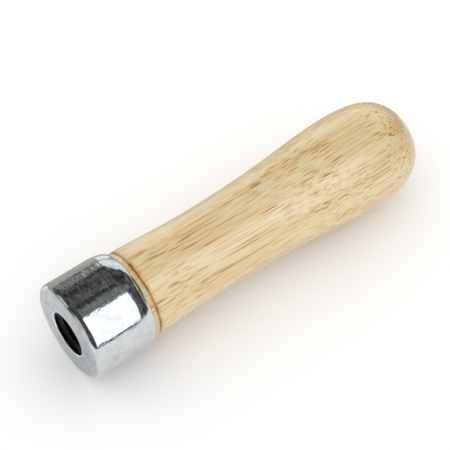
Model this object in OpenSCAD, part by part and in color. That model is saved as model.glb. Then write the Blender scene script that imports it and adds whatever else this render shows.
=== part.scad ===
// Screw-on rasp handle: a turned hardwood grip, a drawn steel ferrule and a
// self-cutting thread insert that grips the tang of a farrier's rasp.
//
// The origin is the centre of the ferrule's flat front face. +X runs along the
// handle to the butt and +Z is up. Every piece is turned about the X axis, so
// each outline below is a list of [radius, distance from the front face].

/* [Handle] */
// Length from the ferrule's front face to the butt
handle_l = 127; // [122:0.5:140]
// Clearance left at each hidden joint face, filled by glue or by pressing
joint_gap = 0.05; // [0.02:0.01:0.1]

/* [Grip] */
// Diameter of the wood where it leaves the ferrule
neck_d = 28; // [27.6:0.1:28.6]
// Diameter at the waist, the thinnest place
waist_d = 26.4; // [25:0.1:27.4]
// Distance of the waist from the front face
waist_x = 49.5; // [46:0.5:54]
// Diameter at the palm swell, the thickest place
swell_d = 32.5; // [30:0.1:36]
// Distance of the palm swell from the front face
swell_x = 106; // [100:0.5:108]
// Slope of the wood's surface as it leaves the groove, in degrees
neck_flare = 1.7; // [0:0.1:3]

/* [Burnt groove] */
// Distance of the groove's middle behind the ferrule
groove_set_back = 1.65; // [1.2:0.05:2.5]
// Width of the groove
groove_w = 0.8; // [0.4:0.1:1.2]
// Depth of the groove
groove_depth = 0.35; // [0.2:0.05:0.6]

/* [Ferrule] */
// Outside diameter of the drawn cup
ferrule_d = 31.75; // [31.5:0.05:32.5]
// Length of the cup, front face to rolled-in end
ferrule_l = 22; // [21:0.5:25]
// Thickness of the steel sheet
sheet_t = 1.2; // [1:0.05:1.3]
// Outside radius of the drawn front corner
corner_r = 2.1; // [1.8:0.1:2.5]
// Length of the stretch that is rolled in over the wood
roll_l = 6.2; // [5:0.1:7]
// Diameter of the hole punched in the front wall
mouth_d = 14.6; // [14.6:0.1:15.6]
// Radius of the drawn-over edge round the hole
mouth_edge_r = 0.3; // [0.1:0.05:0.4]

/* [Thread insert] */
// Crest diameter of the internal thread
crest_d = 12.7; // [12.4:0.1:12.7]
// Thread pitch, 18 threads to the inch
pitch = 1.411; // [1.3:0.001:1.6]
// Depth of the thread below its crests
thread_depth = 0.9; // [0.7:0.05:0.9]
// Length of the insert
insert_l = 19; // [16:0.5:22]
// Diameter of the insert's barrel
barrel_d = 19; // [18:0.5:20]
// Diameter of the flange that the ferrule's front wall holds down
flange_d = 25; // [24:0.5:25.5]
// Thickness of the flange
flange_t = 2.4; // [2:0.1:3]
// Number of lengthwise keys that stop the insert turning in the wood
key_count = 4; // [2:1:6]
// Width of a key
key_w = 2; // [1.5:0.1:3]
// Height of a key above the barrel
key_h = 1.2; // [0.8:0.1:1.5]

/* [Tang hole] */
// Diameter of the hole drilled in the wood for the tip of the tang
tang_hole_d = 9.5; // [8:0.1:11]
// Distance from the front face to the end of the hole's straight wall
tang_hole_x = 82; // [70:1:90]

/* [Hidden] */

$fn = 96;
curve_steps = 20;     // straight pieces in each long curve of an outline
corner_steps = 8;     // straight pieces in each small round
drill_point = 118;    // full angle of the drill's tip, degrees
flank_angle = 60;     // full angle between a thread's flanks, degrees
cut_margin = 1;       // how far a cutting shape runs past what it cuts
spigot_chamfer = 1.2; // chamfer that clears the round inside the cup's front corner
end_chamfer = 0.6;    // chamfer at the inner end of the insert's barrel

neck_r = neck_d / 2;
waist_r = waist_d / 2;
swell_r = swell_d / 2;
ferrule_r = ferrule_d / 2;
bore_r = ferrule_r - sheet_t;           // inside of the ferrule's straight wall
roll_r = neck_r + joint_gap;            // inside of the rolled-in end
roll_x = ferrule_l - roll_l;            // where the rolling-in starts
mouth_r = mouth_d / 2;
seat_x = sheet_t + joint_gap;           // front of the wood and of the insert
groove_x = ferrule_l + groove_set_back; // middle of the burnt groove

barrel_r = barrel_d / 2;
flange_r = flange_d / 2;
crest_r = crest_d / 2;
root_r = crest_r + thread_depth;
insert_end = seat_x + insert_l;
tang_hole_r = tang_hole_d / 2;

// Handles of the grip's three curves, as lengths along their end tangents
neck_pull = 6;
waist_pull_front = 12.5;
waist_pull_back = 30;
swell_pull_front = 14;
swell_pull_back = 15.2;
butt_pull = 12;

// A cubic Bezier curve from a to d, without its last point
function curve(a, b, c, d, steps) =
    [for (i = [0:steps - 1]) let (t = i / steps, s = 1 - t)
        s*s*s*a + 3*s*s*t*b + 3*s*t*t*c + t*t*t*d];

// An elliptical round about a centre, with both of its ends
function round_over(centre, half_w, half_h, from, to, steps) =
    [for (i = [0:steps]) let (angle = from + (to - from) * i / steps)
        centre + [half_w * cos(angle), half_h * sin(angle)]];

// Turns an outline of [radius, distance] points about the handle's X axis
module turned(outline) {
    rotate([0, 90, 0])
        rotate_extrude()
            polygon(outline);
}

// A block along the handle at one key's place, grown by a clearance all round
module key_block(index, grow) {
    rotate([360 / key_count * index, 0, 0])
        translate([seat_x + flange_t - cut_margin, -key_w / 2 - grow, 0])
            cube([insert_l - flange_t + cut_margin + grow,
                  key_w + 2 * grow, barrel_r + key_h + grow]);
}

// ---- Grip: one turned billet, reduced at the front to fit the ferrule ----

// The spigot fills the ferrule's straight wall and follows it as it rolls in
spigot_outline = concat(
    [[tang_hole_r, seat_x], [bore_r - joint_gap - spigot_chamfer, seat_x],
     [bore_r - joint_gap, seat_x + spigot_chamfer]],
    round_over([neck_r, roll_x], bore_r - joint_gap - neck_r,
               roll_l - sheet_t - joint_gap, 0, 90, corner_steps));

groove_outline = [
    [neck_r, groove_x - groove_w / 2],
    [neck_r - groove_depth, groove_x],
    [neck_r, groove_x + groove_w / 2]];

// From the groove to the waist, then out to the palm swell, then to the butt
neck_start = [neck_r, groove_x + groove_w / 2];
body_outline = concat(
    curve(neck_start,
          neck_start + neck_pull * [sin(neck_flare), cos(neck_flare)],
          [waist_r, waist_x - waist_pull_front],
          [waist_r, waist_x], curve_steps),
    curve([waist_r, waist_x],
          [waist_r, waist_x + waist_pull_back],
          [swell_r, swell_x - swell_pull_front],
          [swell_r, swell_x], curve_steps),
    curve([swell_r, swell_x],
          [swell_r, swell_x + swell_pull_back],
          [butt_pull, handle_l],
          [0, handle_l], curve_steps),
    [[0, handle_l]]);

tang_hole_outline = [
    [0, seat_x - cut_margin],
    [tang_hole_r, seat_x - cut_margin],
    [tang_hole_r, tang_hole_x],
    [0, tang_hole_x + tang_hole_r / tan(drill_point / 2)]];

insert_socket_outline = [
    [0, seat_x - cut_margin],
    [flange_r + joint_gap, seat_x - cut_margin],
    [flange_r + joint_gap, seat_x + flange_t + joint_gap],
    [barrel_r + joint_gap, seat_x + flange_t + joint_gap],
    [barrel_r + joint_gap, insert_end + joint_gap],
    [0, insert_end + joint_gap]];

module grip() {
    color("burlywood")
    difference() {
        turned(concat([[0, seat_x]], spigot_outline, groove_outline, body_outline));
        turned(tang_hole_outline);
        turned(insert_socket_outline);
        for (i = [0:key_count - 1])
            key_block(i, joint_gap);
    }
}

// ---- Ferrule: a deep-drawn cup with a punched hole and a rolled-in end ----

ferrule_outline = concat(
    [[mouth_r, sheet_t]],
    round_over([mouth_r + mouth_edge_r, mouth_edge_r],
               mouth_edge_r, mouth_edge_r, 180, 270, corner_steps),
    round_over([ferrule_r - corner_r, corner_r],
               corner_r, corner_r, -90, 0, corner_steps),
    round_over([roll_r, roll_x], ferrule_r - roll_r, roll_l, 0, 90, 2 * corner_steps),
    round_over([roll_r, roll_x], bore_r - roll_r, roll_l - sheet_t, 90, 0, corner_steps),
    round_over([ferrule_r - corner_r, corner_r],
               corner_r - sheet_t, corner_r - sheet_t, 0, -90, corner_steps));

module ferrule() {
    color("silver")
        turned(ferrule_outline);
}

// ---- Thread insert: a hardened flanged bush, keyed into the wood ----

groove_half_w = thread_depth * tan(flank_angle / 2);
lead_in_end = seat_x + thread_depth;     // where the countersunk entry meets the crests
thread_turns = floor((insert_end - lead_in_end) / pitch - 0.5);

// The thread is drawn as separate rings, one for each turn
module thread_rings() {
    for (i = [0:thread_turns - 1])
        let (middle = lead_in_end + (i + 1) * pitch)
            turned([[crest_r - cut_margin, middle - groove_half_w],
                    [crest_r, middle - groove_half_w],
                    [root_r, middle],
                    [crest_r, middle + groove_half_w],
                    [crest_r - cut_margin, middle + groove_half_w]]);
}

bush_outline = [
    [root_r, seat_x], [flange_r, seat_x],
    [flange_r, seat_x + flange_t], [barrel_r, seat_x + flange_t],
    [barrel_r, insert_end - end_chamfer], [barrel_r - end_chamfer, insert_end],
    [crest_r, insert_end], [crest_r, lead_in_end]];

module thread_insert() {
    color("dimgray")
    difference() {
        union() {
            turned(bush_outline);
            for (i = [0:key_count - 1])
                difference() {
                    key_block(i, 0);
                    turned([[0, 0], [barrel_r - end_chamfer, 0],
                            [barrel_r - end_chamfer, handle_l], [0, handle_l]]);
                }
        }
        thread_rings();
    }
}

grip();
ferrule();
thread_insert();
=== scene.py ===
import math

import bpy
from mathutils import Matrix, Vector
from mathutils.geometry import interpolate_bezier


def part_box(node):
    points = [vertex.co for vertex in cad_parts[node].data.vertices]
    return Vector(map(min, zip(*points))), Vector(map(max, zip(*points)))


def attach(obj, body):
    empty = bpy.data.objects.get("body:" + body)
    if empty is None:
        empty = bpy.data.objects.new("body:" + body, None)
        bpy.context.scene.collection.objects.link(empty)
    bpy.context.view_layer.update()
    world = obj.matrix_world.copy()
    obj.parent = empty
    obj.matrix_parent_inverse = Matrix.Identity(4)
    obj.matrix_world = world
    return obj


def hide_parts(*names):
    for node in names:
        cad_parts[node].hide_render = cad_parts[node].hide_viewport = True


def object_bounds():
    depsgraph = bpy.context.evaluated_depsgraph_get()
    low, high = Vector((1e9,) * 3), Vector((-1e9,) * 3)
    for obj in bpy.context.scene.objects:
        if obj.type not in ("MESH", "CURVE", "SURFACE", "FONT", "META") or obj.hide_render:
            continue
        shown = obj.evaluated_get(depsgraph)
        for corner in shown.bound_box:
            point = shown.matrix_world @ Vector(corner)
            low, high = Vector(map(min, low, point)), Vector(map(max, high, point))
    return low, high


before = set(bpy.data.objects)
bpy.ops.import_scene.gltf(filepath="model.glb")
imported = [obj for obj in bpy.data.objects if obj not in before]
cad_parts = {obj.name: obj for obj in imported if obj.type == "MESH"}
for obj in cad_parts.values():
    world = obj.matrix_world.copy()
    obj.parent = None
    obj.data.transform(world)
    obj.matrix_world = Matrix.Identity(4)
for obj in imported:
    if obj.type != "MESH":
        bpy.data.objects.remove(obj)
cad_low, cad_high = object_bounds()
MM = 0.001


# ---- The view -------------------------------------------------------------
# A long lens looks down on the handle as it lies on its side, from in front
# of the ferrule, so that the flat front wall and the hole in it both show.

view_azimuth = math.radians(-36.85)
view_elevation = math.radians(54.11)
view_distance = 551.2 * MM
aim_offset = Vector((-3.7, 3.0, 1.64)) * MM     # from the middle of the handle

look = Vector((-math.sin(view_azimuth) * math.cos(view_elevation),
               math.cos(view_azimuth) * math.cos(view_elevation),
               -math.sin(view_elevation)))
aim = (Vector(cad_low) + Vector(cad_high)) / 2 + aim_offset

camera_data = bpy.data.cameras.new("camera")
camera_data.lens = 145.1
camera_data.sensor_width = 36
camera_data.clip_end = 20
camera = bpy.data.objects.new("camera", camera_data)
camera.location = aim - look * view_distance
camera.rotation_euler = look.to_track_quat("-Z", "Y").to_euler()
bpy.context.scene.collection.objects.link(camera)
bpy.context.scene.camera = camera
bpy.context.scene.view_settings.view_transform = "Standard"


# ---- Grip -----------------------------------------------------------------
# One billet of blond open-grained hardwood, turned between centres, bored for
# the thread insert and the tang, burnt with a wire behind the ferrule, sanded
# and dipped in clear lacquer.

joint_gap = 0.05 * MM
neck_r = 14.0 * MM
neck_flare = math.radians(1.7)
neck_pull = 6 * MM
waist_r = 13.2 * MM
waist_x = 49.5 * MM
waist_pull_front = 12.5 * MM
waist_pull_back = 30 * MM
swell_r = 16.25 * MM
swell_x = 106 * MM
swell_pull_front = 14 * MM
swell_pull_back = 15.2 * MM
butt_pull = 12 * MM
grip_low, grip_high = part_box("grip")
seat_x, butt_x = grip_low.x, grip_high.x

ferrule_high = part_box("ferrule")[1]
ferrule_r = ferrule_high.z
ferrule_end = ferrule_high.x
sheet = 1.2 * MM
roll = 6.2 * MM
spigot_r = ferrule_r - sheet - joint_gap
spigot_chamfer = 1.2 * MM
roll_x = ferrule_end - roll

tang_hole_r = 4.75 * MM
tang_hole_end = 82 * MM
drill_point = math.radians(118)
insert_low, insert_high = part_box("thread_insert")
flange_r = insert_high.z
flange_end = insert_low.x + 2.4 * MM
barrel_r = 9.5 * MM
insert_end = insert_high.x
key_count = 4
key_w = 2 * MM
key_h = 1.2 * MM

groove_x = ferrule_end + 1.65 * MM
groove_half_w = 0.4 * MM
groove_depth = 0.35 * MM
groove_steps = 12
steps_round = 180
sharp_angle = math.radians(35)      # an edge that turns more than this stays sharp
weld = 0.001 * MM                   # points nearer than this become one


def linear(hex_colour):
    """A colour given as sRGB hex, turned to the linear values that a shader takes."""
    parts = [int(hex_colour[i:i + 2], 16) / 255 for i in (1, 3, 5)]
    return [c / 12.92 if c <= 0.04045 else ((c + 0.055) / 1.055) ** 2.4 for c in parts] + [1]


def add_node(tree, kind, inputs=(), **settings):
    """A new node of that kind, with its settings, and each input linked or set.

    A node given as an input stands for its first output.
    """
    node = tree.nodes.new(kind)
    for name, value in settings.items():
        setattr(node, name, value)
    for key, value in dict(inputs).items():
        if isinstance(value, bpy.types.Node):
            value = value.outputs[0]
        if isinstance(value, bpy.types.NodeSocket):
            tree.links.new(value, node.inputs[key])
        else:
            node.inputs[key].default_value = value
    return node


def new_material(name):
    """A material, and its tree, which is still empty."""
    material = bpy.data.materials.new(name)
    material.use_nodes = True
    material.node_tree.nodes.clear()
    return material, material.node_tree


def place_in_mm(tree):
    """Object coordinates, counted in millimetres."""
    place = add_node(tree, "ShaderNodeTexCoord").outputs["Object"]
    return add_node(tree, "ShaderNodeVectorMath", {0: place, "Scale": 1 / MM}, operation="SCALE")


def streaks(tree, place, along, across, detail):
    """Noise whose features are that long along the handle and across it, in mm."""
    squeezed = add_node(tree, "ShaderNodeVectorMath",
                        {0: place, 1: (1 / along, 1 / across, 1 / across)}, operation="MULTIPLY")
    return add_node(tree, "ShaderNodeTexNoise", {"Vector": squeezed, "Scale": 1, "Detail": detail})


# Clear-lacquered blond hardwood: cream and honey growth bands, fine straight
# fibre, and open vessels that the lathe has cut into brown lines along the
# sides and dots at the butt. The lacquer lies over it as a satin skin.
lacquered_wood, tree = new_material("clear_lacquered_blond_hardwood")
place = place_in_mm(tree)
along = add_node(tree, "ShaderNodeSeparateXYZ", {0: place})

# The grain drifts a little off the axis, so the turned surface cuts across it
drift_amount = 3.2
drift = streaks(tree, place, 65, 22, 1).outputs["Color"]
drift = add_node(tree, "ShaderNodeVectorMath", {0: drift, 1: (0.5, 0.5, 0.5)}, operation="SUBTRACT")
grain = add_node(tree, "ShaderNodeVectorMath",
                 {0: drift, 1: (drift_amount,) * 3, 2: place}, operation="MULTIPLY_ADD")
across = add_node(tree, "ShaderNodeSeparateXYZ", {0: grain})
section = add_node(tree, "ShaderNodeCombineXYZ", {0: across.outputs["Y"], 1: across.outputs["Z"]})

# Growth bands: rings round a pith well outside the billet, both in mm
pith = (28, 20, 0)
band_spacing = 8
from_pith = add_node(tree, "ShaderNodeVectorMath", {0: section, 1: pith}, operation="DISTANCE")
rings = add_node(tree, "ShaderNodeMath",
                 {0: from_pith.outputs["Value"], 1: 2 * math.pi / band_spacing}, operation="MULTIPLY")
bands = add_node(tree, "ShaderNodeMath", {0: rings}, operation="SINE")
patches = streaks(tree, grain, 30, 2.4, 4)
honey = add_node(tree, "ShaderNodeMath", {0: bands, 1: 0.07, 2: patches}, operation="MULTIPLY_ADD")
honey = add_node(tree, "ShaderNodeMapRange", {0: honey, 1: 0.35, 2: 0.72},
                 interpolation_type="SMOOTHSTEP")
colour = add_node(tree, "ShaderNodeMix", {0: honey, 6: linear("#DFCC9F"), 7: linear("#DABB80")},
                  data_type="RGBA").outputs[2]

# Fibre, whose real 0.03 mm strands are drawn as 0.3 mm and finer streaks, to show
fibre = streaks(tree, grain, 9, 0.3, 4)
fibre_shown = add_node(tree, "ShaderNodeMapRange", {0: fibre, 1: 0.45, 2: 0.75, 4: 0.4},
                       interpolation_type="SMOOTHSTEP")
colour = add_node(tree, "ShaderNodeMix", {0: fibre_shown, 6: colour, 7: linear("#C99F5B")},
                  data_type="RGBA").outputs[2]

# Vessels in three sizes: (spacing, radius, length of a dash, strength), in mm.
# Real ones are 0.1 to 0.2 mm wide, and the larger are drawn coarser, to show.
# They crowd together where the wood is darker, and all show in the end grain,
# which the rounding of the butt lays bare over its last 14 mm.
vessels = ((1.2, 0.16, 16, 1), (0.8, 0.125, 11, 0.95), (0.5, 0.095, 7, 0.75))
end_grain = add_node(tree, "ShaderNodeMapRange",
                     {0: along, 1: butt_x / MM - 14, 2: butt_x / MM - 2},
                     interpolation_type="SMOOTHSTEP")
crowding = add_node(tree, "ShaderNodeMapRange", {0: honey, 1: 0.2, 2: 0.8, 3: 0.6, 4: 1.2})
crowding = add_node(tree, "ShaderNodeMath", {0: crowding, 1: end_grain}, operation="ADD")
pores = 0
for spacing, vessel_r, dash, strength in vessels:
    cells = add_node(tree, "ShaderNodeTexVoronoi", {"Vector": section, "Scale": 1 / spacing},
                     voronoi_dimensions="2D")
    line = add_node(tree, "ShaderNodeMapRange",
                    {0: cells.outputs["Distance"], 1: 0.65 * vessel_r / spacing,
                     2: 1.1 * vessel_r / spacing, 3: strength, 4: 0},
                    interpolation_type="SMOOTHSTEP")
    chances = add_node(tree, "ShaderNodeSeparateColor", {0: cells.outputs["Color"]})
    own_noise = add_node(tree, "ShaderNodeVectorMath",
                         {0: cells.outputs["Color"], 1: (0, 90, 90)}, operation="MULTIPLY")
    own_noise = add_node(tree, "ShaderNodeVectorMath",
                         {0: place, 1: (1 / dash, 0, 0), 2: own_noise}, operation="MULTIPLY_ADD")
    broken = add_node(tree, "ShaderNodeTexNoise", {"Vector": own_noise, "Scale": 1, "Detail": 2})
    broken = add_node(tree, "ShaderNodeMapRange", {0: broken, 1: 0.36, 2: 0.5},
                      interpolation_type="SMOOTHSTEP")
    darkness = add_node(tree, "ShaderNodeMath", {0: chances, 1: 2.5}, operation="POWER")
    darkness = add_node(tree, "ShaderNodeMath", {0: darkness, 1: 0.6, 2: 0.5},
                        operation="MULTIPLY_ADD")
    shown = add_node(tree, "ShaderNodeMath", {0: line, 1: broken}, operation="MULTIPLY")
    shown = add_node(tree, "ShaderNodeMath", {0: shown, 1: darkness}, operation="MULTIPLY")
    pores = add_node(tree, "ShaderNodeMath", {0: pores, 1: shown}, operation="MAXIMUM")
pores = add_node(tree, "ShaderNodeMath", {0: pores, 1: crowding}, operation="MULTIPLY", use_clamp=True)
for start, end, pore_colour in ((0, 0.48, "#C78626"), (0.46, 1, "#5A3504")):
    depth = add_node(tree, "ShaderNodeMapRange", {0: pores, 1: start, 2: end})
    colour = add_node(tree, "ShaderNodeMix", {0: depth, 6: colour, 7: linear(pore_colour)},
                      data_type="RGBA").outputs[2]

# End grain at the butt drinks more lacquer and goes darker
soaked = add_node(tree, "ShaderNodeMath", {0: end_grain, 1: 0.6}, operation="MULTIPLY")
colour = add_node(tree, "ShaderNodeMix", {0: soaked, 6: colour, 7: linear("#BF9A56")},
                  data_type="RGBA").outputs[2]

# The wire has burnt its groove and scorched the wood beside it, unevenly:
# (start and end of the tint from the groove's middle in mm, strength, colour)
ragged = streaks(tree, place, 1.1, 1.1, 3)
patchy = streaks(tree, place, 4, 4, 3)
patchy = add_node(tree, "ShaderNodeMapRange", {0: patchy, 1: 0.36, 2: 0.62, 3: 0.35, 4: 1})
from_groove = add_node(tree, "ShaderNodeMath", {0: along, 1: groove_x / MM}, operation="SUBTRACT")
from_groove = add_node(tree, "ShaderNodeMath", {0: from_groove}, operation="ABSOLUTE")
from_groove = add_node(tree, "ShaderNodeMath", {0: ragged, 1: 1.4, 2: from_groove},
                       operation="MULTIPLY_ADD")
for start, end, strength, tint in ((1.1, 2.4, 0.85, "#C79238"), (0.75, 1.25, 1, "#8A5C10")):
    heat = add_node(tree, "ShaderNodeMapRange", {0: from_groove, 1: start, 2: end, 3: strength, 4: 0},
                    interpolation_type="SMOOTHSTEP")
    heat = add_node(tree, "ShaderNodeMath", {0: heat, 1: patchy}, operation="MULTIPLY")
    colour = add_node(tree, "ShaderNodeMix", {0: heat, 6: colour, 7: linear(tint)},
                      data_type="RGBA").outputs[2]

# The open grain stands out in the wood, and the lacquer has filled most of it
relief = add_node(tree, "ShaderNodeMath", {0: fibre, 1: 0.25}, operation="MULTIPLY")
relief = add_node(tree, "ShaderNodeMath", {0: relief, 1: pores}, operation="SUBTRACT")
open_grain = add_node(tree, "ShaderNodeBump", {"Height": relief, "Distance": 0.06 * MM})
lacquered_grain = add_node(tree, "ShaderNodeBump", {"Height": relief, "Distance": 0.02 * MM})
dullness = add_node(tree, "ShaderNodeMapRange", {0: fibre, 1: 0.3, 2: 0.7, 3: 0.42, 4: 0.56})
shader = add_node(tree, "ShaderNodeBsdfPrincipled",
                  {"Base Color": colour, "Roughness": dullness, "IOR": 1.5, "Coat Weight": 1,
                   "Coat Roughness": 0.23, "Coat IOR": 1.7, "Normal": open_grain,
                   "Coat Normal": lacquered_grain})
add_node(tree, "ShaderNodeOutputMaterial", {"Surface": shader})


def round_over(centre, half_length, half_height, start, end, steps=16):
    """Points of an elliptical round in (x, radius), from one angle to another."""
    angles = [math.radians(start + (end - start) * i / steps) for i in range(steps + 1)]
    return [(centre[0] + half_length * math.sin(a), centre[1] + half_height * math.cos(a))
            for a in angles]


def pulled_curve(*points, steps):
    """Points of a cubic curve in (x, radius): its start, its two handles and its end."""
    curve = interpolate_bezier(*[Vector((x, radius, 0)) for x, radius in points], steps)
    return [(point.x, point.y) for point in curve]


def outline_object(name, outline):
    """An object whose mesh is an open outline of (x, radius), ready for turning."""
    mesh = bpy.data.meshes.new(name)
    edges = [(i, i + 1) for i in range(len(outline) - 1)]
    mesh.from_pydata([(x, radius, 0) for x, radius in outline], edges, [])
    piece = bpy.data.objects.new(name, mesh)
    bpy.context.scene.collection.objects.link(piece)
    return piece


def new_tree(name, inputs):
    """A Geometry Nodes tree, and the sockets of the inputs that it was given."""
    tree = bpy.data.node_groups.new(name, "GeometryNodeTree")
    tree.interface.new_socket("Geometry", in_out="INPUT", socket_type="NodeSocketGeometry")
    for label, kind in inputs.items():
        tree.interface.new_socket(label, in_out="INPUT", socket_type="NodeSocket" + kind)
    tree.interface.new_socket("Geometry", in_out="OUTPUT", socket_type="NodeSocketGeometry")
    return tree, add_node(tree, "NodeGroupInput").outputs


def run_tree(piece, tree, values):
    """Runs a tree on a piece with named values, and keeps the result as its mesh."""
    modifier = piece.modifiers.new(tree.name, "NODES")
    modifier.node_group = tree
    for item in tree.interface.items_tree:
        if item.in_out == "INPUT" and item.name in values:
            modifier[item.identifier] = values[item.name]
    graph = bpy.context.evaluated_depsgraph_get()
    outline = piece.data
    piece.data = bpy.data.meshes.new_from_object(piece.evaluated_get(graph))
    piece.data.name = piece.name
    piece.data.materials.clear()
    piece.data.materials.append(values["Finish"])
    piece.data.polygons.foreach_set("material_index", [0] * len(piece.data.polygons))
    piece.modifiers.clear()
    bpy.data.meshes.remove(outline)
    piece.data.shade_smooth()
    piece.data.set_sharp_from_angle(angle=sharp_angle)


# The lathe: an outline in (x, radius) is swept round a small ring on the axis
lathe, given = new_tree("lathe", {"Steps Round": "Int"})
ring_r = 1 * MM
quarter_turn = math.radians(90)
ring = add_node(lathe, "GeometryNodeCurvePrimitiveCircle",
                {"Resolution": given["Steps Round"], "Radius": ring_r})
outline = add_node(lathe, "GeometryNodeMeshToCurve", {"Mesh": given["Geometry"]})
on_ring = add_node(lathe, "GeometryNodeTransform",
                   {"Geometry": outline, "Translation": (-ring_r, 0, 0),
                    "Rotation": (0, 0, -quarter_turn)})
swept = add_node(lathe, "GeometryNodeCurveToMesh", {"Curve": ring, "Profile Curve": on_ring})
on_axis = add_node(lathe, "GeometryNodeTransform",
                   {"Geometry": swept, "Rotation": (0, quarter_turn, 0)})
joined = add_node(lathe, "GeometryNodeMergeByDistance", {"Geometry": on_axis, "Distance": weld})
outward = add_node(lathe, "GeometryNodeFlipFaces", {"Mesh": joined})
add_node(lathe, "NodeGroupOutput", {"Geometry": outward})

# Bars set round the axis: the insert's keys, and the keyways cut for them
bars, given = new_tree("bars_round_axis", {"Count": "Int", "Size": "Vector", "Middle": "Vector"})
bar = add_node(bars, "GeometryNodeMeshCube", {"Size": given["Size"]})
placed = add_node(bars, "GeometryNodeTransform", {"Geometry": bar, "Translation": given["Middle"]})
centres = add_node(bars, "GeometryNodePoints", {"Count": given["Count"]})
index = add_node(bars, "GeometryNodeInputIndex")
share = add_node(bars, "ShaderNodeMath", {0: index, 1: given["Count"]}, operation="DIVIDE")
turned = add_node(bars, "ShaderNodeMath", {0: share, 1: 2 * math.pi}, operation="MULTIPLY")
turn_about_x = add_node(bars, "ShaderNodeCombineXYZ", {"X": turned})
copies = add_node(bars, "GeometryNodeInstanceOnPoints",
                  {"Points": centres, "Instance": placed, "Rotation": turn_about_x})
loose = add_node(bars, "GeometryNodeRealizeInstances", {"Geometry": copies})
add_node(bars, "NodeGroupOutput", {"Geometry": loose})

# The grip: its outline turned on the lathe, and the keyways cut in its socket
turned_grip, given = new_tree("turned_grip", {"Steps Round": "Int", "Keyways": "Int",
                                              "Keyway Size": "Vector", "Keyway Middle": "Vector",
                                              "Finish": "Material"})
billet = add_node(turned_grip, "GeometryNodeGroup",
                  {"Geometry": given["Geometry"], "Steps Round": given["Steps Round"]}, node_tree=lathe)
cutters = add_node(turned_grip, "GeometryNodeGroup",
                   {"Count": given["Keyways"], "Size": given["Keyway Size"],
                    "Middle": given["Keyway Middle"]}, node_tree=bars)
cut = add_node(turned_grip, "GeometryNodeMeshBoolean", {"Mesh 1": billet, "Mesh 2": cutters},
               operation="DIFFERENCE", solver="EXACT")
loose = add_node(turned_grip, "GeometryNodeRealizeInstances", {"Geometry": cut})
finished = add_node(turned_grip, "GeometryNodeSetMaterial",
                    {"Geometry": loose, "Material": given["Finish"]})
add_node(turned_grip, "NodeGroupOutput", {"Geometry": finished})

# The burnt groove has a round bottom and no sharp lips
groove_stop = groove_x + groove_half_w
groove = [(groove_x + groove_half_w * (2 * i / groove_steps - 1),
           neck_r - groove_depth * (1 - math.cos(2 * math.pi * i / groove_steps)) / 2)
          for i in range(groove_steps)]
grip_outline = (
    [(tang_hole_end + tang_hole_r / math.tan(drill_point / 2), 0),
     (tang_hole_end, tang_hole_r),
     (insert_end + joint_gap, tang_hole_r),
     (insert_end + joint_gap, barrel_r + joint_gap),
     (flange_end + joint_gap, barrel_r + joint_gap),
     (flange_end + joint_gap, flange_r + joint_gap),
     (seat_x, flange_r + joint_gap),
     (seat_x, spigot_r - spigot_chamfer),
     (seat_x + spigot_chamfer, spigot_r)]
    + round_over((roll_x, neck_r), roll - sheet - joint_gap, spigot_r - neck_r, 0, 90)
    + groove
    + pulled_curve((groove_stop, neck_r),
                   (groove_stop + neck_pull * math.cos(neck_flare),
                    neck_r + neck_pull * math.sin(neck_flare)),
                   (waist_x - waist_pull_front, waist_r), (waist_x, waist_r), steps=40)
    + pulled_curve((waist_x, waist_r), (waist_x + waist_pull_back, waist_r),
                   (swell_x - swell_pull_front, swell_r), (swell_x, swell_r), steps=80)[1:]
    + pulled_curve((swell_x, swell_r), (swell_x + swell_pull_back, swell_r),
                   (butt_x, butt_pull), (butt_x, 0), steps=60)[1:])

# The keyways' cutters reach into the open socket, so that they cut right through
cutter_reach = 0.5 * MM
keyway_start = flange_end - cutter_reach
keyway_end = insert_end + joint_gap
keyway_bottom = barrel_r - 2 * cutter_reach
keyway_top = barrel_r + key_h + joint_gap
grip = outline_object("turned_grip", grip_outline)
run_tree(grip, turned_grip, {
    "Steps Round": steps_round, "Keyways": key_count, "Finish": lacquered_wood,
    "Keyway Size": (keyway_end - keyway_start, key_w + 2 * joint_gap, keyway_top - keyway_bottom),
    "Keyway Middle": ((keyway_start + keyway_end) / 2, 0, (keyway_bottom + keyway_top) / 2)})
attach(grip, "root")
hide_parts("grip")


# ---- Ferrule --------------------------------------------------------------
# A cup of steel sheet, deep-drawn, punched for the tang, bright zinc plated,
# and pressed over the wood. Its open end is rolled in to bite into the neck.

corner_r = 2.1 * MM
mouth_r = 7.3 * MM
mouth_edge_r = 0.3 * MM
roll_r = neck_r + joint_gap
bore_r = ferrule_r - sheet
ferrule_steps = 240

# Bright zinc plate: a near-mirror, wavy from the drawing of the cup, finely
# scored along its length by the die, with faint stains. The front wall, which
# has been handled most, is a little duller, and its plating is painted darker,
# a painted shade for the dimmer reflection it shows. The lip of the mouth is
# painted near-white, a painted highlight where tangs have also rubbed it.
zinc_plate, tree = new_material("bright_zinc_plated_steel")
place = place_in_mm(tree)
along = add_node(tree, "ShaderNodeSeparateXYZ", {0: place})
off_axis = add_node(tree, "ShaderNodeVectorMath", {0: place, 1: (0, 1, 1)}, operation="MULTIPLY")
radius = add_node(tree, "ShaderNodeVectorMath", {0: off_axis}, operation="LENGTH").outputs["Value"]
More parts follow.
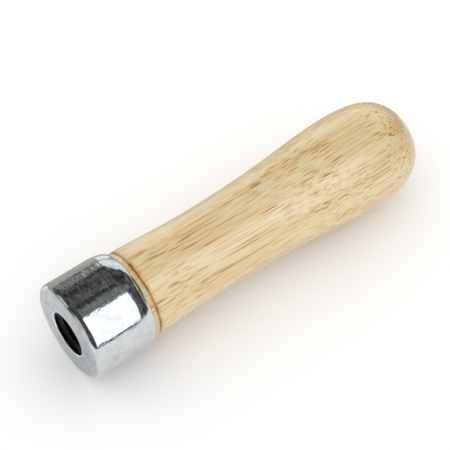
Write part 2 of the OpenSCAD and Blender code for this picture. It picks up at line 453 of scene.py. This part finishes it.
# Where the front wall ends, at its corner, and the lip of the mouth
front = add_node(tree, "ShaderNodeMapRange", {0: along, 1: 0.05, 2: 0.6, 3: 1, 4: 0})
lightened_edge = add_node(tree, "ShaderNodeMapRange",
                  {0: radius, 1: mouth_r / MM + 0.25, 2: mouth_r / MM + 0.45, 3: 1, 4: 0})
stains = streaks(tree, place, 3, 3, 5)
stained = add_node(tree, "ShaderNodeMapRange", {0: stains, 1: 0.4, 2: 0.75},
                   interpolation_type="SMOOTHSTEP")
colour = add_node(tree, "ShaderNodeMix", {0: stained, 6: linear("#D2D5D7"), 7: linear("#C2C4C4")},
                  data_type="RGBA").outputs[2]
# A darker copy of the plating for the front wall: painted shade
front_shaded_colour = add_node(tree, "ShaderNodeMix", {0: stained, 6: linear("#B4B9BE"), 7: linear("#9DA2A7")},
                   data_type="RGBA").outputs[2]
colour = add_node(tree, "ShaderNodeMix", {0: front, 6: colour, 7: front_shaded_colour},
                  data_type="RGBA").outputs[2]
# The lip of the mouth painted near-white: a painted highlight, where tangs have also rubbed it
colour = add_node(tree, "ShaderNodeMix", {0: lightened_edge, 6: colour, 7: linear("#F2F3F3")},
                  data_type="RGBA").outputs[2]
dullness = add_node(tree, "ShaderNodeMapRange", {0: stains, 1: 0.35, 2: 0.75, 3: 0.07, 4: 0.16})
dullness = add_node(tree, "ShaderNodeMath", {0: front, 1: 0.12, 2: dullness}, operation="MULTIPLY_ADD")

# Its unevenness: (length and width of the features in mm, detail, height). The
# die's scores are hair-fine on the real sheet, and are drawn coarser, to show.
unevenness = (
    (5, 4, 0, 5),           # slow waves
    (1.1, 0.8, 1, 2),       # small dents
    (1.8, 400, 1, 2.6),     # rings left by the drawing
    (1.3, 7, 1, 4.5),       # short ripples round the cup
    (7, 0.28, 2, 0.34))     # the die's scores, along it
height = 0
for length, width, detail, amount in unevenness:
    layer = streaks(tree, place, length, width, detail)
    height = add_node(tree, "ShaderNodeMath", {0: layer, 1: amount, 2: height},
                      operation="MULTIPLY_ADD")
wavy = add_node(tree, "ShaderNodeBump", {"Height": height, "Distance": 0.015 * MM})
shader = add_node(tree, "ShaderNodeBsdfPrincipled",
                  {"Base Color": colour, "Metallic": 1, "Roughness": dullness, "Normal": wavy})
add_node(tree, "ShaderNodeOutputMaterial", {"Surface": shader})

# The cup: its outline, both faces of the sheet, turned on the lathe
drawn_cup, given = new_tree("drawn_cup", {"Steps Round": "Int", "Finish": "Material"})
cup = add_node(drawn_cup, "GeometryNodeGroup",
               {"Geometry": given["Geometry"], "Steps Round": given["Steps Round"]}, node_tree=lathe)
finished = add_node(drawn_cup, "GeometryNodeSetMaterial",
                    {"Geometry": cup, "Material": given["Finish"]})
add_node(drawn_cup, "NodeGroupOutput", {"Geometry": finished})

corner_centre = (corner_r, ferrule_r - corner_r)
inner_corner_r = corner_r - sheet
ferrule_outline = (
    round_over((mouth_edge_r, mouth_r + mouth_edge_r), mouth_edge_r, mouth_edge_r, -180, -90, 8)
    + round_over(corner_centre, corner_r, corner_r, -90, 0)
    + round_over((roll_x, roll_r), roll, ferrule_r - roll_r, 0, 90, 32)
    + round_over((roll_x, roll_r), roll - sheet, bore_r - roll_r, 90, 0, 24)
    + round_over(corner_centre, inner_corner_r, inner_corner_r, 0, -90, 8)
    + [(sheet, mouth_r), (mouth_edge_r, mouth_r)])

ferrule = outline_object("drawn_ferrule", ferrule_outline)
run_tree(ferrule, drawn_cup, {"Steps Round": ferrule_steps, "Finish": zinc_plate})
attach(ferrule, "root")
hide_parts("ferrule")


# ---- Thread insert --------------------------------------------------------
# A flanged steel bush with a sharp internal thread, which cuts its own way
# onto the rasp's tang. It is case-hardened and blackened, held down by the
# ferrule's front wall, and four keys stop it turning in the wood.

crest_r = 6.35 * MM
thread_depth = 0.9 * MM
pitch = 1.411 * MM
half_thread_angle = math.radians(30)    # half of the angle between a thread's sides
thread_half_w = thread_depth * math.tan(half_thread_angle)
thread_start = insert_low.x + thread_depth
thread_steps = 16
end_chamfer = 0.6 * MM
key_sink = 0.5 * MM                     # how far a key reaches into the flange and barrel
insert_steps = 160

# Blackened hardened steel: near-black oxide, rubbed to grey on the crests of
# the thread, with a film of oil and a few bright specks of swarf.
black_oxide, tree = new_material("oil_blackened_hardened_steel")
place = place_in_mm(tree)
split = add_node(tree, "ShaderNodeSeparateXYZ", {0: place})
off_axis = add_node(tree, "ShaderNodeCombineXYZ", {"Y": split.outputs["Y"], "Z": split.outputs["Z"]})
radius = add_node(tree, "ShaderNodeVectorMath", {0: off_axis}, operation="LENGTH").outputs["Value"]
mottle = streaks(tree, place, 1.5, 1.5, 4)
colour = add_node(tree, "ShaderNodeMix", {0: mottle, 6: linear("#1B1A19"), 7: linear("#2E2B28")},
                  data_type="RGBA").outputs[2]
lightened_edge = add_node(tree, "ShaderNodeMapRange",
                  {0: radius, 1: crest_r / MM + 0.05, 2: crest_r / MM + 0.25, 3: 0.5, 4: 0})
colour = add_node(tree, "ShaderNodeMix", {0: lightened_edge, 6: colour, 7: linear("#5E5A56")},
                  data_type="RGBA").outputs[2]
specks = add_node(tree, "ShaderNodeTexNoise", {"Vector": place, "Scale": 2.2, "Detail": 1})
specks = add_node(tree, "ShaderNodeMapRange", {0: specks, 1: 0.7, 2: 0.76})
colour = add_node(tree, "ShaderNodeMix", {0: specks, 6: colour, 7: linear("#B9B4AA")},
                  data_type="RGBA").outputs[2]
dullness = add_node(tree, "ShaderNodeMapRange", {0: mottle, 1: 0.3, 2: 0.7, 3: 0.28, 4: 0.5})
pitted = add_node(tree, "ShaderNodeBump", {"Height": mottle, "Distance": 0.03 * MM})
shader = add_node(tree, "ShaderNodeBsdfPrincipled",
                  {"Base Color": colour, "Metallic": 1, "Roughness": dullness, "Normal": pitted})
add_node(tree, "ShaderNodeOutputMaterial", {"Surface": shader})

# The thread: a sheet of columns that follow the helix and rows round the axis.
# Each column keeps its place on the thread's profile, and both ends of the
# sheet are drawn in to plain circles that meet the bush.
thread, given = new_tree("cut_thread", {
    "Steps Round": "Int", "Steps Along": "Int", "Steps A Pitch": "Int", "Pitch": "Float",
    "Crest Radius": "Float", "Depth": "Float", "Half Width": "Float", "Start": "Float",
    "End": "Float"})
rows = add_node(thread, "ShaderNodeMath", {0: given["Steps Round"], 1: 1}, operation="ADD")
columns = add_node(thread, "ShaderNodeMath", {0: given["Steps Along"], 1: 1}, operation="ADD")
flat = add_node(thread, "GeometryNodeMeshGrid",
                {"Size X": given["Steps Along"], "Size Y": 1, "Vertices X": columns, "Vertices Y": rows})
position = add_node(thread, "GeometryNodeInputPosition")
on_sheet = add_node(thread, "ShaderNodeSeparateXYZ", {0: position})
half = add_node(thread, "ShaderNodeMath", {0: given["Steps Along"], 1: 2}, operation="DIVIDE")
column = add_node(thread, "ShaderNodeMath", {0: on_sheet.outputs["X"], 1: half}, operation="ADD")
pitches = add_node(thread, "ShaderNodeMath", {0: column, 1: given["Steps A Pitch"]}, operation="DIVIDE")
turn = add_node(thread, "ShaderNodeMath", {0: on_sheet.outputs["Y"], 1: 0.5}, operation="ADD")
advance = add_node(thread, "ShaderNodeMath", {0: pitches, 1: turn}, operation="ADD")
advance = add_node(thread, "ShaderNodeMath", {0: advance, 1: 1}, operation="SUBTRACT")
x = add_node(thread, "ShaderNodeMath", {0: advance, 1: given["Pitch"], 2: given["Start"]},
             operation="MULTIPLY_ADD")
x = add_node(thread, "ShaderNodeMath", {0: x, 1: given["Start"]}, operation="MAXIMUM")
x = add_node(thread, "ShaderNodeMath", {0: x, 1: given["End"]}, operation="MINIMUM")
phase = add_node(thread, "ShaderNodeMath", {0: pitches}, operation="FRACT")
off_root = add_node(thread, "ShaderNodeMath", {0: phase, 1: 0.5}, operation="SUBTRACT")
off_root = add_node(thread, "ShaderNodeMath", {0: off_root}, operation="ABSOLUTE")
off_root = add_node(thread, "ShaderNodeMath", {0: off_root, 1: given["Pitch"]}, operation="MULTIPLY")
cut = add_node(thread, "ShaderNodeMapRange",
               {0: off_root, 1: 0, 2: given["Half Width"], 3: given["Depth"], 4: 0})
fade_in = add_node(thread, "ShaderNodeMath", {0: x, 1: given["Start"]}, operation="SUBTRACT")
fade_out = add_node(thread, "ShaderNodeMath", {0: given["End"], 1: x}, operation="SUBTRACT")
fade = add_node(thread, "ShaderNodeMath", {0: fade_in, 1: fade_out}, operation="MINIMUM")
fade = add_node(thread, "ShaderNodeMapRange", {0: fade, 1: 0, 2: given["Pitch"]})
cut = add_node(thread, "ShaderNodeMath", {0: cut, 1: fade}, operation="MULTIPLY")
radius = add_node(thread, "ShaderNodeMath", {0: given["Crest Radius"], 1: cut}, operation="ADD")
angle = add_node(thread, "ShaderNodeMath", {0: turn, 1: 2 * math.pi}, operation="MULTIPLY")
sine = add_node(thread, "ShaderNodeMath", {0: angle}, operation="SINE")
cosine = add_node(thread, "ShaderNodeMath", {0: angle}, operation="COSINE")
y = add_node(thread, "ShaderNodeMath", {0: radius, 1: sine}, operation="MULTIPLY")
z = add_node(thread, "ShaderNodeMath", {0: radius, 1: cosine}, operation="MULTIPLY")
z = add_node(thread, "ShaderNodeMath", {0: z, 1: -1}, operation="MULTIPLY")
on_thread = add_node(thread, "ShaderNodeCombineXYZ", {"X": x, "Y": y, "Z": z})
rolled_up = add_node(thread, "GeometryNodeSetPosition", {"Geometry": flat, "Position": on_thread})
add_node(thread, "NodeGroupOutput", {"Geometry": rolled_up})

# The insert: its bush turned on the lathe, joined to the thread and the keys
keyed_insert, given = new_tree("keyed_insert", {
    "Steps Round": "Int", "Steps Along": "Int", "Steps A Pitch": "Int", "Pitch": "Float",
    "Crest Radius": "Float", "Depth": "Float", "Half Width": "Float", "Start": "Float",
    "End": "Float", "Keys": "Int", "Key Size": "Vector", "Key Middle": "Vector",
    "Finish": "Material"})
bush = add_node(keyed_insert, "GeometryNodeGroup",
                {"Geometry": given["Geometry"], "Steps Round": given["Steps Round"]}, node_tree=lathe)
helix = add_node(keyed_insert, "GeometryNodeGroup", node_tree=thread)
for socket in helix.inputs:
    if socket.name != "Geometry":
        keyed_insert.links.new(given[socket.name], socket)
open_ends = add_node(keyed_insert, "GeometryNodeJoinGeometry", {"Geometry": bush})
keyed_insert.links.new(helix.outputs[0], open_ends.inputs[0])
closed = add_node(keyed_insert, "GeometryNodeMergeByDistance",
                  {"Geometry": open_ends, "Distance": weld})
keys = add_node(keyed_insert, "GeometryNodeGroup",
                {"Count": given["Keys"], "Size": given["Key Size"],
                 "Middle": given["Key Middle"]}, node_tree=bars)
keyed = add_node(keyed_insert, "GeometryNodeMeshBoolean", {"Mesh 2": closed},
                 operation="UNION", solver="EXACT")
keyed_insert.links.new(keys.outputs[0], keyed.inputs["Mesh 2"])
finished = add_node(keyed_insert, "GeometryNodeSetMaterial",
                    {"Geometry": keyed, "Material": given["Finish"]})
add_node(keyed_insert, "NodeGroupOutput", {"Geometry": finished})

bush_outline = [
    (thread_start, crest_r),
    (insert_low.x, crest_r + thread_depth),
    (insert_low.x, flange_r),
    (flange_end, flange_r),
    (flange_end, barrel_r),
    (insert_end - end_chamfer, barrel_r),
    (insert_end, barrel_r - end_chamfer),
    (insert_end, crest_r)]

key_start = flange_end - key_sink
key_end = insert_end - end_chamfer
key_bottom = barrel_r - key_sink
key_top = barrel_r + key_h
thread_pitches = (insert_end - thread_start) / pitch + 1
insert = outline_object("keyed_thread_insert", bush_outline)
run_tree(insert, keyed_insert, {
    "Steps Round": insert_steps, "Steps Along": math.ceil(thread_pitches * thread_steps),
    "Steps A Pitch": thread_steps, "Pitch": pitch, "Crest Radius": crest_r,
    "Depth": thread_depth, "Half Width": thread_half_w, "Start": thread_start,
    "End": insert_end, "Keys": key_count, "Finish": black_oxide,
    "Key Size": (key_end - key_start, key_w, key_top - key_bottom),
    "Key Middle": ((key_start + key_end) / 2, 0, (key_bottom + key_top) / 2)})
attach(insert, "root")
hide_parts("thread_insert")


# ---- Floor and light ------------------------------------------------------
# The handle lies on matt white paper in a small studio, in even light from all
# round. The ferrule mirrors one tall softbox, a dark dome cluttered with paler
# cards, and two cards on the floor behind the handle.

floor_z = cad_low[2]
floor_half = 1500 * MM


def studio_piece(name, points, finish, faces=None):
    """A mesh that stands in the studio, of one face unless its faces are given."""
    mesh = bpy.data.meshes.new(name)
    mesh.from_pydata(points, [], faces or [tuple(range(len(points)))])
    mesh.materials.append(finish)
    piece = bpy.data.objects.new(name, mesh)
    bpy.context.scene.collection.objects.link(piece)
    return piece


# Matt white paper: bright, with no gloss
paper, tree = new_material("matt_white_paper")
shader = add_node(tree, "ShaderNodeBsdfPrincipled",
                  {"Base Color": linear("#FBFBFB"), "Roughness": 0.9, "Specular IOR Level": 0.1})
add_node(tree, "ShaderNodeOutputMaterial", {"Surface": shader})
studio_piece("floor", [(-floor_half, -floor_half, floor_z), (floor_half, -floor_half, floor_z),
                       (floor_half, floor_half, floor_z), (-floor_half, floor_half, floor_z)], paper)

# The softbox stands on the near side, its width along the handle, and leans in
softbox_w, softbox_h = 270 * MM, 740 * MM
softbox_radiance = 1.65
softbox_lean = math.radians(54)
softbox_light = bpy.data.lights.new("softbox", "AREA")
softbox_light.shape = "RECTANGLE"
softbox_light.size = softbox_w
softbox_light.size_y = softbox_h
softbox_light.energy = softbox_radiance * math.pi * softbox_w * softbox_h
softbox_light.color = linear("#F6F8FF")[:3]
softbox = bpy.data.objects.new("softbox", softbox_light)
softbox.location = (210 * MM, -450 * MM, 336 * MM)
softbox.rotation_euler = (softbox_lean, 0, 0)
softbox.visible_camera = False
softbox.visible_diffuse = False
bpy.context.scene.collection.objects.link(softbox)

# Its black cloth rim hangs below it, and shows as a thin line in the ferrule
black_cloth, tree = new_material("black_cloth")
shader = add_node(tree, "ShaderNodeEmission", {"Color": linear("#202020"), "Strength": 1})
add_node(tree, "ShaderNodeOutputMaterial", {"Surface": shader})
rim_drop = 90 * MM
rim_top = -softbox_h / 2
rim = studio_piece("softbox_rim", [(-softbox_w / 2, rim_top, 0), (softbox_w / 2, rim_top, 0),
                                   (softbox_w / 2, rim_top - rim_drop, 0),
                                   (-softbox_w / 2, rim_top - rim_drop, 0)], black_cloth)
rim.location = softbox.location
rim.rotation_euler = softbox.rotation_euler

# Studio walls: dark, unevenly lit cloth, hung with paler round cards
studio, tree = new_material("studio_walls")
toward = add_node(tree, "ShaderNodeVectorMath", {0: place_in_mm(tree)}, operation="NORMALIZE")
clutter = add_node(tree, "ShaderNodeVectorMath", {0: toward, 1: (26, 5, 5)}, operation="MULTIPLY")
clutter = add_node(tree, "ShaderNodeTexNoise", {"Vector": clutter, "Scale": 1, "Detail": 5})
glow = add_node(tree, "ShaderNodeMapRange", {0: clutter, 1: 0.44, 2: 0.68, 3: 0.008, 4: 0.38})
tint = add_node(tree, "ShaderNodeMix", {0: clutter, 6: linear("#B9C6D2"), 7: linear("#FBF6EA")},
                data_type="RGBA").outputs[2]

# The cards: (direction from the ferrule's face, cosine of the angle out to the
# card's edge and to where it is fully lit, glow)
cards = (
    ((-0.95, -0.2, 0.22), 0.88, 0.96, 0.85),        # before the ferrule
    ((-0.74, 0.61, 0.27), 0.95, 0.975, 0.8),        # before it, on the far side
    ((0.72, 0.68, 0.12), 0.87, 0.9, 1.2),           # past the butt, on the far side
    ((0.964, 0.134, -0.232), 0.735, 0.755, 1.2),    # a thin bright ring past the butt:
    ((0.964, 0.134, -0.232), 0.77, 0.79, -1.2),     # a card with its middle taken out
    ((0.35, 0.9, 0.05), 0.88, 0.98, 0.2),           # faint, low on the far side
    ((0.35, -0.15, 0.92), 0.96, 0.99, 0.2))         # faint, overhead
for direction, edge, inside, card_glow in cards:
    facing = Vector(direction).normalized()
    nearness = add_node(tree, "ShaderNodeVectorMath", {0: toward, 1: facing}, operation="DOT_PRODUCT")
    card = add_node(tree, "ShaderNodeMapRange",
                    {0: nearness.outputs["Value"], 1: edge, 2: inside, 4: card_glow},
                    interpolation_type="SMOOTHSTEP")
    glow = add_node(tree, "ShaderNodeMath", {0: glow, 1: card}, operation="ADD")
shader = add_node(tree, "ShaderNodeEmission", {"Color": tint, "Strength": glow})
add_node(tree, "ShaderNodeOutputMaterial", {"Surface": shader})

dome_r = 1200 * MM
dome_rings, dome_sides = 24, 48
dome_points = []
for i in range(dome_rings):
    rise = math.radians(90 * i / dome_rings)
    for k in range(dome_sides):
        swing = math.radians(360 * k / dome_sides)
        dome_points.append((dome_r * math.cos(rise) * math.cos(swing),
                            dome_r * math.cos(rise) * math.sin(swing), dome_r * math.sin(rise)))
dome_faces = [(i * dome_sides + k, i * dome_sides + (k + 1) % dome_sides,
               (i + 1) * dome_sides + (k + 1) % dome_sides, (i + 1) * dome_sides + k)
              for i in range(dome_rings - 1) for k in range(dome_sides)]
dome_faces.append(tuple((dome_rings - 1) * dome_sides + k for k in range(dome_sides)))
dome = studio_piece("studio_dome", dome_points, studio, dome_faces)

# A grey card on the floor behind the handle draws a soft dark line along its
# upper edges, as a studio flag does. Before the ferrule it starts further back.
grey_card, tree = new_material("grey_card")
uneven = streaks(tree, place_in_mm(tree), 25, 25, 3)
glow = add_node(tree, "ShaderNodeMapRange", {0: uneven, 1: 0.3, 2: 0.7, 3: 0.38, 4: 0.62})
shader = add_node(tree, "ShaderNodeEmission", {"Color": linear("#FFFAF2"), "Strength": glow})
add_node(tree, "ShaderNodeOutputMaterial", {"Surface": shader})
card_lift = 0.5 * MM
flag_y, flag_z = cad_high[1] + 4 * MM, floor_z + card_lift
flag_step = 80 * MM
flag = studio_piece("grey_card", [(0, flag_y, flag_z), (dome_r, flag_y, flag_z),
                                  (dome_r, dome_r, flag_z), (-dome_r, dome_r, flag_z),
                                  (-dome_r, flag_step, flag_z), (0, flag_step, flag_z)], grey_card)

# A white card lies over it, and is seen where the ferrule starts to roll in
white_card, tree = new_material("white_card")
shader = add_node(tree, "ShaderNodeEmission", {"Color": linear("#FFFFFF"), "Strength": 1.1})
add_node(tree, "ShaderNodeOutputMaterial", {"Surface": shader})
white_y, white_far_y = 60 * MM, 300 * MM
white_z = flag_z + card_lift
white = studio_piece("white_card", [(37 * MM, white_y, white_z), (60 * MM, white_y, white_z),
                                    (200 * MM, white_far_y, white_z),
                                    (127 * MM, white_far_y, white_z)], white_card)

# All of these show only where they are mirrored in a gloss
for piece in (rim, dome, flag, white):
    piece.visible_camera = False
    piece.visible_diffuse = False
    piece.visible_shadow = False
    piece.visible_transmission = False

# Even light from all round, which no gloss mirrors
world = bpy.data.worlds.new("even_light")
bpy.context.scene.world = world
world.use_nodes = True
background = world.node_tree.nodes["Background"]
background.inputs["Color"].default_value = linear("#FFFFFF")
background.inputs["Strength"].default_value = 1.1
world.cycles_visibility.glossy = False
